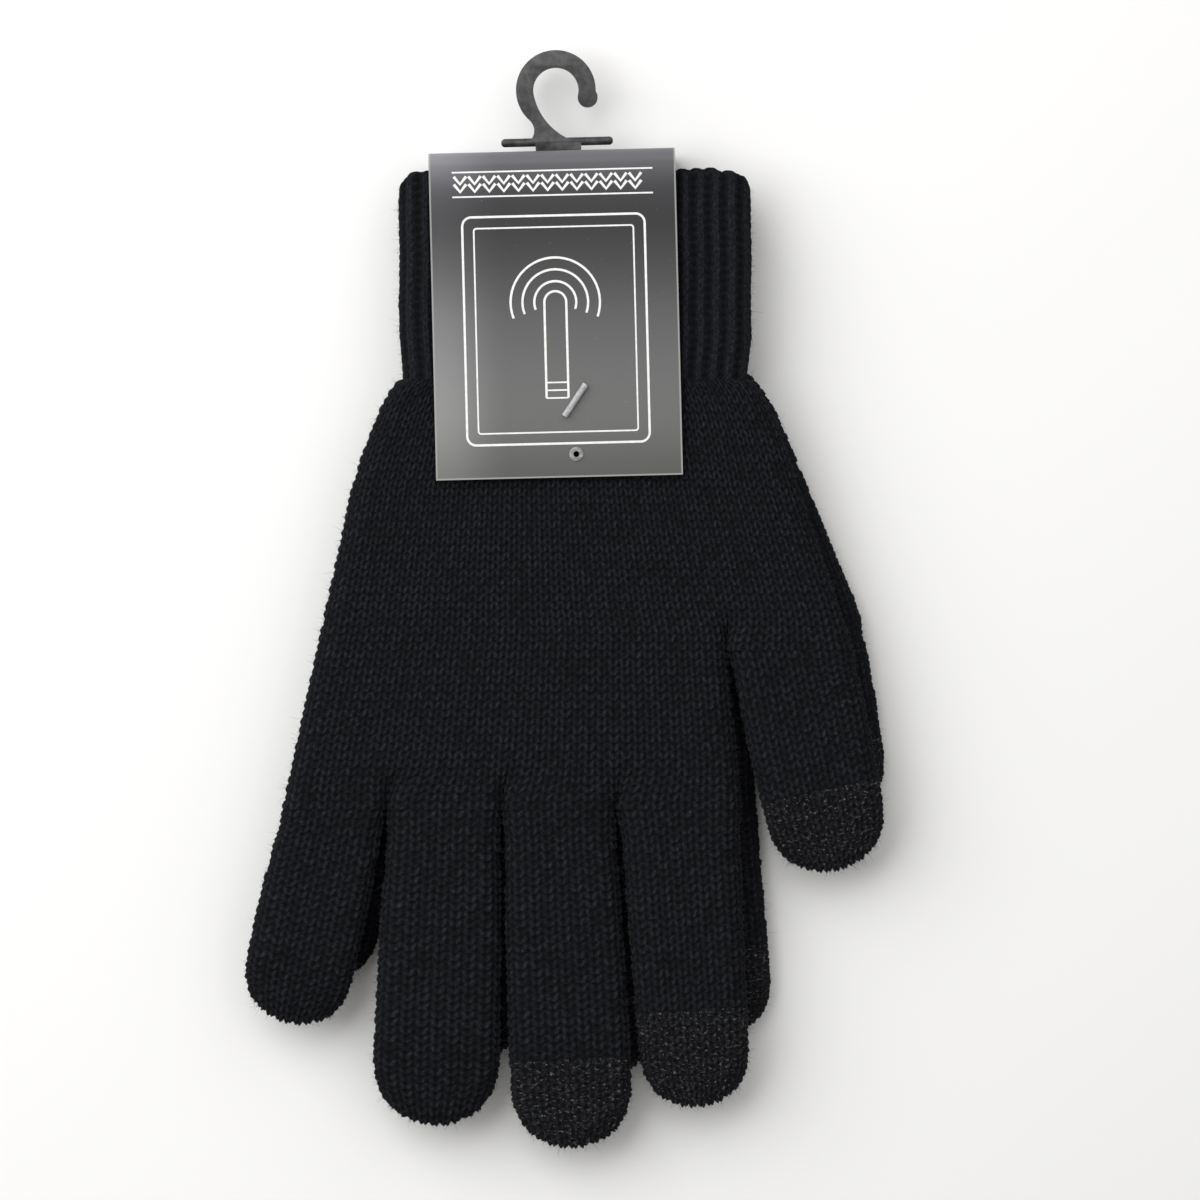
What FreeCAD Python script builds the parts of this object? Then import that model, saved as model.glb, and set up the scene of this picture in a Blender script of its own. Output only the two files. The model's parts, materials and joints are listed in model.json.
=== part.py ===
import FreeCAD, Part
import os
import re
import Sketcher

# A pair of knitted touchscreen gloves on a folded header card, lying flat, in millimetres.
# X is to the right, Y points from the fingers to the hanger hook, Z is up.
# The origin is the middle of the flat underside of the header card.

doc = FreeCAD.newDocument("TouchscreenGloves")

# ---------------------------------------------------------------- driving sizes

SIZES = {
    # knitted fabric and the stack
    "fabric": 1.6,              # thickness of one layer of knit
    "hand_space": 4.6,          # height of the room for the hand, between the two layers
    "edge_round": 2.8,          # rounding of the folded side edges
    "between_gloves": 0.4,      # room between the upper and the lower glove
    # cuff and hand, seen from above
    "cuff_length": 45.8,
    "upper_cuff_width": 77.4,
    "lower_cuff_width": 73.5,
    "cuff_corner": 4.0,         # how far the cuff's mouth corners are rounded off
    "wrist_width": 75.7,
    "flare_length": 24.0,       # the hand widens fast over this length below the wrist
    "flare_width": 98.4,        # width of the hand where the flare ends
    "flare_bow_drop": 0.45,     # the flare bows out: at this share of its length
    "flare_bow_reach": 0.6,     # it has this share of its widening
    "hand_length": 95.0,        # wrist to knuckle line
    "thumb_from_wrist": 60.0,   # wrist to the line where the thumb starts
    "thumb_crotch": 32.6,       # middle of the hand to the thumb's crotch
    "thumb_root_width": 28.3,
    "finger_gap": 0.9,          # between neighbouring fingers at their roots
    "thumb_gap": 1.3,           # between the thumb's root and the hand beside it
    "root_gap": 0.4,            # between a finger's root and the hand
    "lower_reach": 0.915,       # the lower glove is drawn up: share of its length that shows
    # fingers: width at the knuckle line, width at the tip, length, lean away from -Y in degrees
    "little_root": 23.1,
    "little_tip": 24.8,
    "little_length": 48.4,
    "little_lean": -12.5,
    "ring_root": 25.3,
    "ring_tip": 28.6,
    "ring_length": 70.0,
    "ring_lean": -2.5,
    "middle_root": 25.1,
    "middle_tip": 27.6,
    "middle_length": 75.0,
    "middle_lean": 2.5,
    "index_root": 27.7,
    "index_tip": 26.2,
    "index_length": 66.0,
    "index_lean": 3.7,
    "knuckles_right": 36.7,     # middle of the hand to the index finger's outer corner
    "thumb_tip": 26.8,
    "thumb_length": 49.7,
    "upper_thumb_lean": 12.0,
    "lower_thumb_lean": 8.5,
    # how much of a finger is knitted in conductive yarn
    "middle_touch": 22.7,
    "index_touch": 23.5,
    "thumb_touch": 20.5,
    # how the gloves lie, turned about the tag pin, in degrees
    "upper_turn": -1.4,
    "lower_turn": 1.0,
    # header card
    "card_width": 54.1,
    "card_thickness": 0.4,
    "fold_radius": 3.0,
    "fold_room": 4.25,          # between the cuff's mouth and the inside of the fold
    "flap_below_pin": 16.85,
    "front_room": 0.8,          # between the upper glove and the front flap
    "back_room": 1.0,           # between the lower glove and the back flap
    # tag pin
    "pin_below_wrist": 4.6,
    "pin_right": 3.8,           # from the card's middle line
    "pin_radius": 0.35,
    "pin_room": 0.25,           # round the filament
    "bar_radius": 0.65,
    "bar_length": 8.4,
    "bar_turn": 55.0,
    "paddle_length": 6.0,
    "paddle_width": 2.4,
    "paddle_thickness": 0.5,
    # eyelet in the front flap
    "eyelet_from_edge": 5.05,
    "eyelet_radius": 1.0,       # of its barrel
    "eyelet_bore": 0.65,
    "eyelet_flange": 1.6,
    "flange_thickness": 0.35,
    # hanger hook
    "hook_thickness": 1.8,
    "hook_lift": 1.5,           # between the card and the hook's outer arms
    "hook_right": 1.2,          # from the card's middle line
    "hook_swing": 15.0,         # degrees each way
    "hook_room": 0.3,
    "arm_radius": 0.93,
    "arm_round": 0.85,          # rounding of the arms' ends
    "arm_span": 24.7,
    "lock_radius": 0.8,         # the bar inside the fold that keeps the hook in
    "lock_span": 16.0,
    "base_left": 4.75,
    "base_right": 5.3,
    "ring_rise": 11.4,          # arms to the middle of the hook's ring
    "ring_inside": 5.0,
    "ring_band": 3.8,
    "ring_to_sweep": 190.0,     # where the inside of the ring runs into the sweep, in degrees from +X
    "sweep_radius": 13.8,       # of the long hollow curve from the ring down to the base
    "ring_to_neck": 228.0,      # where the ring's outside runs into the neck's left side
    "bulb_radius": 2.2,         # the round end of the open ring, which touches the ring's inside
    "bulb_turn": -14.0,         # in degrees from +X
    "neck_left": 5.0,           # the neck's left side where it is thinnest
    "neck_rise": 2.8,           # and how high that is above the arms
    "neck_foot": 6.3,           # the neck's left side where it meets the arms
}

sheet = doc.addObject("Spreadsheet::Sheet", "Sizes")
for row, (alias, number) in enumerate(SIZES.items(), start=1):
    sheet.set(f"A{row}", alias)
    sheet.set(f"B{row}", str(number))
    sheet.setAlias(f"B{row}", alias)
doc.recompute()

ALIAS = re.compile(r"\b(" + "|".join(sorted(SIZES, key=len, reverse=True)) + r")\b")


def bound(formula):
    """The formula as the document's expressions want it, with every size read from the sheet."""
    return ALIAS.sub(r"Sizes.\1", formula)


def value(formula):
    """What a formula of sizes comes to, in millimetres or degrees."""
    return float(sheet.evalExpression(bound(formula)))


# ---------------------------------------------------------------- sizes that follow from others

GLOVE = "(hand_space + 2 * fabric)"
CARD_LENGTH = "(card_thickness + fold_room + cuff_length + pin_below_wrist + flap_below_pin)"
FACE_LENGTH = f"({CARD_LENGTH} - fold_radius)"
CARD_TOP = f"({FACE_LENGTH} / 2 + fold_radius)"
LOWER_MIDDLE = f"(card_thickness + back_room + {GLOVE} / 2)"
UPPER_MIDDLE = f"({LOWER_MIDDLE} + {GLOVE} + between_gloves)"
CARD_HEIGHT = f"({UPPER_MIDDLE} + {GLOVE} / 2 + front_room + card_thickness)"
PIN_Y = f"({CARD_TOP} - card_thickness - fold_room - cuff_length - pin_below_wrist)"
HOOK_Y = f"({CARD_TOP} + hook_lift + arm_radius)"
BEND_MIDDLE = "(1 - sqrt(0.5))"     # a quarter circle's middle from its corner, as a share of the radius
LOCK_DROP = "(arm_radius + hook_lift + card_thickness + hook_room + lock_radius)"


# ---------------------------------------------------------------- modelling helpers

def plane_of(body, role):
    """The body's own origin plane, such as XY_Plane."""
    for feature in body.Origin.OriginFeatures:
        if feature.Role == role:
            return feature
    raise ValueError(role)


def new_body(label):
    body = doc.addObject("PartDesign::Body", label)
    body.Label = label
    return body


def new_sketch(body, name, role="XY_Plane", height=None):
    """A sketch on one of the body's origin planes, lifted off it by a formula if one is given."""
    sketch = body.newObject("Sketcher::SketchObject", name)
    sketch.AttachmentSupport = [(plane_of(body, role), "")]
    sketch.MapMode = "FlatFace"
    if height is not None:
        sketch.setExpression("AttachmentOffset.Base.z", bound(height))
    return sketch


def pin_point(sketch, geometry, end, point):
    """Hold one point of a sketch at a place given by two formulas."""
    for kind, formula in zip(("DistanceX", "DistanceY"), point):
        index = sketch.addConstraint(Sketcher.Constraint(kind, -1, 1, geometry, end, value(formula)))
        sketch.setExpression(f"Constraints[{index}]", bound(formula))


def vector(point):
    return FreeCAD.Vector(value(point[0]), value(point[1]), 0)


def draw(sketch, start, *steps):
    """A closed outline: each step is ("line", end) or ("arc", point on the way, end)."""
    first = start
    for step in steps:
        end = step[-1]
        if step[0] == "line":
            index = sketch.addGeometry(Part.LineSegment(vector(start), vector(end)), False)
            pin_point(sketch, index, 1, start)
            pin_point(sketch, index, 2, end)
        else:
            ends = [start, end]
            near, way, far = vector(start), vector(step[1]), vector(end)
            if (way - near).cross(far - way).z < 0:
                ends.reverse()
            index = sketch.addGeometry(Part.Arc(vector(ends[0]), way, vector(ends[1])), False)
            pin_point(sketch, index, 1, ends[0])
            pin_point(sketch, index, 2, ends[1])
            guide = sketch.addGeometry(Part.Point(vector(step[1])), True)
            pin_point(sketch, guide, 1, step[1])
            sketch.addConstraint(Sketcher.Constraint("PointOnObject", guide, 1, index))
        start = end
    if vector(first).distanceToPoint(vector(start)) > 1e-6:
        raise ValueError(sketch.Name)


def circle(sketch, centre, radius):
    index = sketch.addGeometry(Part.Circle(vector(centre), FreeCAD.Vector(0, 0, 1), value(radius)), False)
    pin_point(sketch, index, 3, centre)
    number = sketch.addConstraint(Sketcher.Constraint("Radius", index, value(radius)))
    sketch.setExpression(f"Constraints[{number}]", bound(radius))


def both_ways(body, kind, name, sketch, length):
    """A pad or pocket that runs the same way to both sides of its sketch."""
    doc.recompute()
    before = body.Tip.Shape.Volume if body.Tip else 0
    feature = body.newObject(f"PartDesign::{kind}", name)
    feature.Profile = sketch
    feature.SideType = "Symmetric"
    feature.setExpression("Length", bound(length))
    doc.recompute()
    if kind == "Pocket" and not feature.Shape.Volume < before - 1e-3:
        raise ValueError(f"{name} cuts nothing")
    return feature


def round_edges(body, name, base, radius, wanted):
    """Fillet the edges of a feature that the test wanted(edge) picks."""
    picked = [f"Edge{number}" for number, edge in enumerate(base.Shape.Edges, start=1) if wanted(edge)]
    fillet = body.newObject("PartDesign::Fillet", name)
    fillet.Base = (base, picked)
    fillet.setExpression("Radius", bound(radius))
    base.Visibility = False
    doc.recompute()
    return fillet


def middle_of(edge):
    return edge.valueAt((edge.FirstParameter + edge.LastParameter) / 2)


def place(piece, x, y, z, turn="0"):
    """Put a piece where formulas say, turned about its own Z axis."""
    piece.Placement = FreeCAD.Placement(FreeCAD.Vector(), FreeCAD.Rotation(FreeCAD.Vector(0, 0, 1), 1))
    piece.setExpression("Placement.Base.x", bound(x))
    piece.setExpression("Placement.Base.y", bound(y))
    piece.setExpression("Placement.Base.z", bound(z))
    piece.setExpression("Placement.Rotation.Angle", bound(turn))


# ---------------------------------------------------------------- gloves
# A glove is drawn about the tag pin's axis at its own mid-height: the wrist is just above it.

class Glove:
    """The formulas in which the upper and the lower glove differ."""

    def __init__(self, side, middle, reach):
        self.side = side
        self.middle = middle
        self.cuff_width = f"{side}_cuff_width"
        self.thumb_lean = f"{side}_thumb_lean"
        self.turn = f"{side}_turn"
        self.reach = reach
        self.knuckles = f"(pin_below_wrist - hand_length * {reach})"
        self.thumb_line = f"(pin_below_wrist - thumb_from_wrist * {reach})"

    def put(self, body):
        place(body, "pin_right", PIN_Y, self.middle, self.turn)


GLOVES = [Glove("upper", UPPER_MIDDLE, "1"), Glove("lower", LOWER_MIDDLE, "lower_reach")]

# finger, its left root corner from the middle of the hand, and the length knitted in touch yarn
INDEX_LEFT = "(knuckles_right - index_root)"
MIDDLE_LEFT = f"({INDEX_LEFT} - middle_root)"
RING_LEFT = f"({MIDDLE_LEFT} - ring_root)"
LITTLE_LEFT = f"({RING_LEFT} - little_root)"
FINGERS = [
    ("little", LITTLE_LEFT, None),
    ("ring", RING_LEFT, None),
    ("middle", MIDDLE_LEFT, "middle_touch"),
    ("index", INDEX_LEFT, "index_touch"),
]


def in_flat_face(edge):
    """True for an edge that lies in the top or the bottom of a flat piece."""
    ends = [vertex.Point.z for vertex in edge.Vertexes]
    return abs(ends[0] - ends[-1]) < 1e-6 and abs(abs(middle_of(edge).z) - value(GLOVE) / 2) < 1e-6


def make_cuff(glove):
    """A flat tube open at the mouth and at the wrist, its mouth corners rounded off."""
    body = new_body(f"{glove.side}_cuff")
    half = f"{glove.cuff_width} / 2"
    wrist = "pin_below_wrist"
    mouth = "(pin_below_wrist + cuff_length)"
    corner = f"(cuff_corner * {BEND_MIDDLE})"

    def outline(name, inset):
        side = f"({half} - {inset})"
        foot = f"(wrist_width / 2 - {inset})"
        sketch = new_sketch(body, name)
        draw(
            sketch,
            (f"-{foot}", wrist),
            ("line", (foot, wrist)),
            ("line", (side, f"{mouth} - cuff_corner")),
            ("arc", (f"{side} - {corner}", f"{mouth} - {corner}"), (f"{side} - cuff_corner", mouth)),
            ("line", (f"cuff_corner - {side}", mouth)),
            ("arc", (f"{corner} - {side}", f"{mouth} - {corner}"), (f"-{side}", f"{mouth} - cuff_corner")),
            ("line", (f"-{foot}", wrist)),
        )
        return sketch

    def is_side(edge):
        spot = middle_of(edge)
        return in_flat_face(edge) and value(wrist) + 1e-3 < spot.y < value(mouth) - 1e-3

    outside = both_ways(body, "Pad", f"{body.Name}_outside", outline(f"{body.Name}_outer", "0"), GLOVE)
    round_edges(body, f"{body.Name}_round", outside, "edge_round", is_side)
    both_ways(body, "Pocket", f"{body.Name}_inside", outline(f"{body.Name}_inner", "fabric"), "hand_space")
    glove.put(body)
    return body


def make_hand(glove):
    """The palm and back of the hand, open at the wrist, the knuckle line and the thumb's root."""
    body = new_body(f"{glove.side}_hand")
    wrist = "pin_below_wrist"
    bend = f"(pin_below_wrist - flare_length * {glove.reach})"
    bow = f"(pin_below_wrist - flare_length * {glove.reach} * flare_bow_drop)"
    bow_half = "(wrist_width + (flare_width - wrist_width) * flare_bow_reach) / 2"
    thumb_outer = "(thumb_crotch + thumb_root_width)"

    def outline(name, inset):
        sketch = new_sketch(body, name)
        draw(
            sketch,
            (f"{inset} - wrist_width / 2", wrist),
            ("line", (f"wrist_width / 2 - {inset}", wrist)),
            ("arc", (f"{bow_half} - {inset}", bow), (f"flare_width / 2 - {inset}", bend)),
            ("line", (f"{thumb_outer} - {inset}", glove.thumb_line)),
            ("line", (f"thumb_crotch - {inset}", glove.thumb_line)),
            ("line", (f"knuckles_right - {inset}", glove.knuckles)),
            ("line", (f"{LITTLE_LEFT} + {inset}", glove.knuckles)),
            ("line", (f"{inset} - flare_width / 2", bend)),
            ("arc", (f"{inset} - {bow_half}", bow), (f"{inset} - wrist_width / 2", wrist)),
        )
        return sketch

    def is_side(edge):
        spot = middle_of(edge)
        open_lines = [value(wrist), value(glove.thumb_line), value(glove.knuckles)]
        return in_flat_face(edge) and all(abs(spot.y - line) > 1e-3 for line in open_lines)

    outside = both_ways(body, "Pad", f"{body.Name}_outside", outline(f"{body.Name}_outer", "0"), GLOVE)
    round_edges(body, f"{body.Name}_round", outside, "edge_round", is_side)
    both_ways(body, "Pocket", f"{body.Name}_inside", outline(f"{body.Name}_inner", "fabric"), "hand_space")
    hole = new_sketch(body, f"{body.Name}_pin_circle")
    circle(hole, ("0", "0"), "pin_radius + pin_room")
    both_ways(body, "Pocket", f"{body.Name}_pin_hole", hole, f"2 * {GLOVE}")
    glove.put(body)
    return body


class Finger:
    """A flat tube with a round closed end, leaning from a root line that runs along X."""

    def __init__(self, glove, name, left, right, line, sizes, lean, touch):
        self.glove = glove
        self.name = name
        self.left = left
        self.right = right
        self.line = f"({line} - root_gap)"
        self.middle = f"(({left} + {right}) / 2)"
        self.radius = f"({sizes}_tip / 2)"
        self.length = f"({sizes}_length * {glove.reach})"
        self.lean = lean
        self.touch = touch

    def along(self, distance, across="0"):
        """A point this far down the finger from the middle of its root, and this far to its right."""
        x = f"{self.middle} + ({distance}) * sin({self.lean}) + ({across}) * cos({self.lean})"
        y = f"{self.line} - ({distance}) * cos({self.lean}) + ({across}) * sin({self.lean})"
        return x, y

    def outline(self, body, name, inset):
        """Root edge, two sides, and a round end that the sides run into without a corner."""
        sketch = new_sketch(body, name)
        radius = f"{self.radius} - {inset}"
        reach = f"{self.length} - {self.radius}"
        corners = [(f"{self.left} + {inset}", self.line), (f"{self.right} - {inset}", self.line)]
        shoulders = [self.along(reach, f"-({radius})"), self.along(reach, radius)]
        left, right = [vector(point) for point in corners]
        ends = [vector(point) for point in shoulders]
        tip = vector(self.along(f"{self.length} - {inset}"))
        root = sketch.addGeometry(Part.LineSegment(left, right), False)
        right_side = sketch.addGeometry(Part.LineSegment(right, ends[1]), False)
        cap = sketch.addGeometry(Part.Arc(ends[0], tip, ends[1]), False)
        left_side = sketch.addGeometry(Part.LineSegment(ends[0], left), False)
        pin_point(sketch, root, 1, corners[0])
        pin_point(sketch, root, 2, corners[1])
        pin_point(sketch, cap, 3, self.along(reach))
        number = sketch.addConstraint(Sketcher.Constraint("Radius", cap, value(radius)))
        sketch.setExpression(f"Constraints[{number}]", bound(radius))
        sketch.addConstraint(Sketcher.Constraint("Coincident", root, 2, right_side, 1))
        sketch.addConstraint(Sketcher.Constraint("Coincident", root, 1, left_side, 2))
        sketch.addConstraint(Sketcher.Constraint("Tangent", left_side, 1, cap, 1))
        sketch.addConstraint(Sketcher.Constraint("Tangent", right_side, 2, cap, 2))
        return sketch

    def make(self, label, start=None, stop=None):
        """The finger as a hollow piece, cut off square before start or beyond stop."""
        body = new_body(label)
        outside = both_ways(body, "Pad", f"{label}_outside", self.outline(body, f"{label}_outer", "0"), GLOVE)

        def is_side(edge):
            return in_flat_face(edge) and abs(middle_of(edge).y - value(self.line)) > 1e-3

        round_edges(body, f"{label}_round", outside, "edge_round", is_side)
        inner = self.outline(body, f"{label}_inner", "fabric")
        both_ways(body, "Pocket", f"{label}_inside", inner, "hand_space")
        wide = f"2 * {self.radius}"
        cuts = []
        if start is not None:
            cuts.append((f"-{self.radius}", start))
        if stop is not None:
            cuts.append((stop, f"{self.length} + fabric"))
        for near_end, far_end in cuts:
            sketch = new_sketch(body, f"{label}_cut_outline")
            draw(
                sketch,
                self.along(near_end, f"-{wide}"),
                ("line", self.along(near_end, wide)),
                ("line", self.along(far_end, wide)),
                ("line", self.along(far_end, f"-{wide}")),
                ("line", self.along(near_end, f"-{wide}")),
            )
            both_ways(body, "Pocket", f"{label}_cut", sketch, f"2 * {GLOVE}")
        self.glove.put(body)
        return body

    def pieces(self):
        """One piece, or two that meet face to face where the touch yarn starts."""
        if self.touch is None:
            return [self.make(self.name)]
        seam = f"{self.length} - {self.touch} * {self.glove.reach}"
        tip = self.name.replace("_finger", "") + "_tip"
        return [self.make(self.name, stop=seam), self.make(tip, start=seam)]


def make_fingers(glove):
    bodies = []
    for name, left, touch in FINGERS:
        near = f"({left} + finger_gap / 2)"
        far = f"({left} + {name}_root - finger_gap / 2)"
        label = f"{glove.side}_{name}_finger"
        finger = Finger(glove, label, near, far, glove.knuckles, name, f"{name}_lean", touch)
        bodies += finger.pieces()
    near = "(thumb_crotch + thumb_gap)"
    far = "(thumb_crotch + thumb_root_width)"
    label = f"{glove.side}_thumb"
    thumb = Finger(glove, label, near, far, glove.thumb_line, "thumb", glove.thumb_lean, "thumb_touch")
    return bodies + thumb.pieces()


# ---------------------------------------------------------------- header card

def make_card():
    """One strip of card folded over the cuffs, with a slit for the hook and two holes in front."""
    body = new_body("header_card")
    flap = f"(-{FACE_LENGTH} / 2)"
    bend = f"({FACE_LENGTH} / 2)"
    inner = "(fold_radius - card_thickness)"
    profile = new_sketch(body, "card_profile", "YZ_Plane")

    def corner(radius, inset, low):
        """The middle point of one of the fold's two bends."""
        y = f"{CARD_TOP} - {inset} - {radius} * {BEND_MIDDLE}"
        z = f"{inset} + {radius} * {BEND_MIDDLE}"
        return (y, z) if low else (y, f"{CARD_HEIGHT} - ({z})")

    draw(
        profile,
        (flap, "0"),
        ("line", (bend, "0")),
        ("arc", corner("fold_radius", "0", True), (CARD_TOP, "fold_radius")),
        ("line", (CARD_TOP, f"{CARD_HEIGHT} - fold_radius")),
        ("arc", corner("fold_radius", "0", False), (bend, CARD_HEIGHT)),
        ("line", (flap, CARD_HEIGHT)),
        ("line", (flap, f"{CARD_HEIGHT} - card_thickness")),
        ("line", (bend, f"{CARD_HEIGHT} - card_thickness")),
        ("arc", corner(inner, "card_thickness", False),
         (f"{CARD_TOP} - card_thickness", f"{CARD_HEIGHT} - fold_radius")),
        ("line", (f"{CARD_TOP} - card_thickness", "fold_radius")),
        ("arc", corner(inner, "card_thickness", True), (bend, "card_thickness")),
        ("line", (flap, "card_thickness")),
        ("line", (flap, "0")),
    )
    both_ways(body, "Pad", "card_strip", profile, "card_width")

    # the slit leaves room for the hook's base as it swings
    slit = new_sketch(body, "card_slit_outline", "XZ_Plane", f"-{CARD_TOP}")
    reach = "(arm_radius + hook_lift + card_thickness)"
    rise = f"({reach} * tan(hook_swing) + hook_thickness / 2 / cos(hook_swing) + hook_room)"
    level = f"{CARD_HEIGHT} / 2"
    left = "hook_right - (base_left + hook_room)"
    right = "hook_right + base_right + hook_room"
    draw(
        slit,
        (left, f"{level} - {rise}"),
        ("line", (right, f"{level} - {rise}")),
        ("line", (right, f"{level} + {rise}")),
        ("line", (left, f"{level} + {rise}")),
        ("line", (left, f"{level} - {rise}")),
    )
    both_ways(body, "Pocket", "card_slit", slit, "4 * card_thickness")

    holes = new_sketch(body, "card_hole_circles", "XY_Plane", CARD_HEIGHT)
    circle(holes, ("pin_right", PIN_Y), "pin_radius + pin_room")
    circle(holes, ("pin_right", f"{flap} + eyelet_from_edge"), "eyelet_radius")
    both_ways(body, "Pocket", "card_holes", holes, "4 * card_thickness")
    return body


# ---------------------------------------------------------------- tag pin

def make_pin():
    """A clear bar lying on the card, a filament through both gloves and a flat paddle behind."""
    paddle_top = f"(card_thickness + (back_room + paddle_thickness) / 2)"
    bar_level = f"({CARD_HEIGHT} + bar_radius)"

    bar = doc.addObject("Part::Cylinder", "pin_bar")
    bar.setExpression("Radius", bound("bar_radius"))
    bar.setExpression("Height", bound("bar_length"))
    bar.Placement = FreeCAD.Placement(FreeCAD.Vector(), FreeCAD.Rotation(FreeCAD.Vector(0, 1, 0), 90))
    bar.setExpression("Placement.Base.x", bound("-bar_length / 2"))
    bar.setExpression("Placement.Base.z", bound(bar_level))

    filament = doc.addObject("Part::Cylinder", "pin_filament")
    filament.setExpression("Radius", bound("pin_radius"))
    filament.setExpression("Height", bound(f"{bar_level} - {paddle_top} + paddle_thickness / 2"))
    filament.setExpression("Placement.Base.z", bound(f"{paddle_top} - paddle_thickness / 2"))

    paddle = doc.addObject("Part::Box", "pin_paddle")
    paddle.setExpression("Length", bound("paddle_length"))
    paddle.setExpression("Width", bound("paddle_width"))
    paddle.setExpression("Height", bound("paddle_thickness"))
    paddle.setExpression("Placement.Base.x", bound("-paddle_length / 2"))
    paddle.setExpression("Placement.Base.y", bound("-paddle_width / 2"))
    paddle.setExpression("Placement.Base.z", bound(f"{paddle_top} - paddle_thickness"))

    pin = doc.addObject("Part::MultiFuse", "tag_pin")
    pin.Shapes = [bar, filament, paddle]
    pin.Label = "tag_pin"
    place(pin, "pin_right", PIN_Y, "0", "bar_turn")
    return pin


# ---------------------------------------------------------------- eyelet

def make_eyelet():
    """A small tube clinched through the front flap, with a flange on each face of the card."""
    body = new_body("card_eyelet")
    section = new_sketch(body, "eyelet_section", "XZ_Plane")
    under = "-(card_thickness + flange_thickness)"
    rim = f"flange_thickness * {BEND_MIDDLE}"
    draw(
        section,
        ("eyelet_bore", under),
        ("line", ("eyelet_flange", under)),
        ("line", ("eyelet_flange", "-card_thickness")),
        ("line", ("eyelet_radius", "-card_thickness")),
        ("line", ("eyelet_radius", "0")),
        ("line", ("eyelet_flange", "0")),
        ("arc", (f"eyelet_flange - {rim}", f"flange_thickness - {rim}"),
         ("eyelet_flange - flange_thickness", "flange_thickness")),
        ("line", ("eyelet_bore", "flange_thickness")),
        ("line", ("eyelet_bore", under)),
    )
    turned = body.newObject("PartDesign::Revolution", "eyelet_turned")
    turned.Profile = section
    turned.ReferenceAxis = (section, ["V_Axis"])
    turned.Angle = 360
    doc.recompute()
    place(body, "pin_right", f"eyelet_from_edge - {FACE_LENGTH} / 2", CARD_HEIGHT)
    return body


# ---------------------------------------------------------------- hanger hook

def ring_point(radius, degrees):
    """A point on a circle about the middle of the hook's ring."""
    return f"({radius}) * cos({degrees})", f"ring_rise + ({radius}) * sin({degrees})"


def make_hook():
    """A flat moulded hook, open to the right, with arms on the card and a bar inside its fold."""
    body = new_body("hanger_hook")
    outer = "(ring_inside + ring_band)"
    reach = "(ring_inside + bulb_radius)"
    spread = f"acos(({outer}^2 + {reach}^2 - bulb_radius^2) / (2 * {outer} * {reach}))"
    mouth = f"(bulb_turn * 1 deg + {spread})"     # where the bulb's far side meets the ring's outside
    bulb_end = (
        f"{reach} * cos(bulb_turn) + bulb_radius * sin(bulb_turn)",
        f"ring_rise + {reach} * sin(bulb_turn) - bulb_radius * cos(bulb_turn)",
    )
    inner_middle = "(ring_to_sweep + bulb_turn) / 2"
    outer_middle = f"(ring_to_neck * 1 deg + {mouth}) / 2"

    # the sweep touches the ring's inside, so its centre is in line with the ring's
    across = "((ring_inside - sweep_radius) * cos(ring_to_sweep))"
    level = "(ring_rise + (ring_inside - sweep_radius) * sin(ring_to_sweep))"
    sweep_foot = ("base_right", f"{level} - sqrt(sweep_radius^2 - (base_right - {across})^2)")
    halfway = f"((ring_to_sweep * 1 deg + 180 deg + acos(({across} - base_right) / sweep_radius)) / 2)"
    sweep_middle = (f"{across} + sweep_radius * cos({halfway})", f"{level} + sweep_radius * sin({halfway})")

    outline = new_sketch(body, "hook_outline")
    draw(
        outline,
        ("-base_left", f"-{LOCK_DROP}"),
        ("line", ("base_right", f"-{LOCK_DROP}")),
        ("line", sweep_foot),
        ("arc", sweep_middle, ring_point("ring_inside", "ring_to_sweep")),
        ("arc", ring_point("ring_inside", inner_middle), ring_point("ring_inside", "bulb_turn")),
        ("arc", bulb_end, ring_point(outer, mouth)),
        ("arc", ring_point(outer, outer_middle), ring_point(outer, "ring_to_neck")),
        ("arc", ("-neck_left", "neck_rise"), ("-neck_foot", "0")),
        ("line", ("-base_left", "0")),
        ("line", ("-base_left", f"-{LOCK_DROP}")),
    )
    both_ways(body, "Pad", "hook_plate", outline, "hook_thickness")
    section = new_sketch(body, "hook_arm_circle", "YZ_Plane")
    circle(section, ("0", "0"), "arm_radius")
    arms = both_ways(body, "Pad", "hook_arms", section, "arm_span")

    def is_arm_end(edge):
        return all(abs(abs(vertex.Point.x) - value("arm_span") / 2) < 1e-6 for vertex in edge.Vertexes)

    round_edges(body, "hook_arm_ends", arms, "arm_round", is_arm_end)
    section = new_sketch(body, "hook_lock_circle", "YZ_Plane")
    circle(section, (f"-{LOCK_DROP}", "0"), "lock_radius")
    both_ways(body, "Pad", "hook_lock", section, "lock_span")
    place(body, "hook_right", HOOK_Y, f"{CARD_HEIGHT} / 2")
    return body


# ---------------------------------------------------------------- build, check and write

pieces = [make_card(), make_pin(), make_eyelet(), make_hook()]
for glove in GLOVES:
    pieces += [make_cuff(glove), make_hand(glove)]
    pieces += make_fingers(glove)
doc.recompute()

for thing in doc.Objects:
    if "Invalid" in thing.State or "Error" in thing.State:
        raise RuntimeError(f"{thing.Name} failed: {thing.State}")
for piece in pieces:
    if piece.Shape.isNull() or not piece.Shape.isValid() or len(piece.Shape.Solids) != 1:
        raise RuntimeError(f"{piece.Label} is not one valid solid")

os.makedirs("parts", exist_ok=True)
for piece in pieces:
    piece.Shape.exportStep(f"parts/{piece.Label}.step")
    print(f"{piece.Label}: {piece.Shape.Volume:.1f} mm3")
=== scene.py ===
import json
import math

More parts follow.
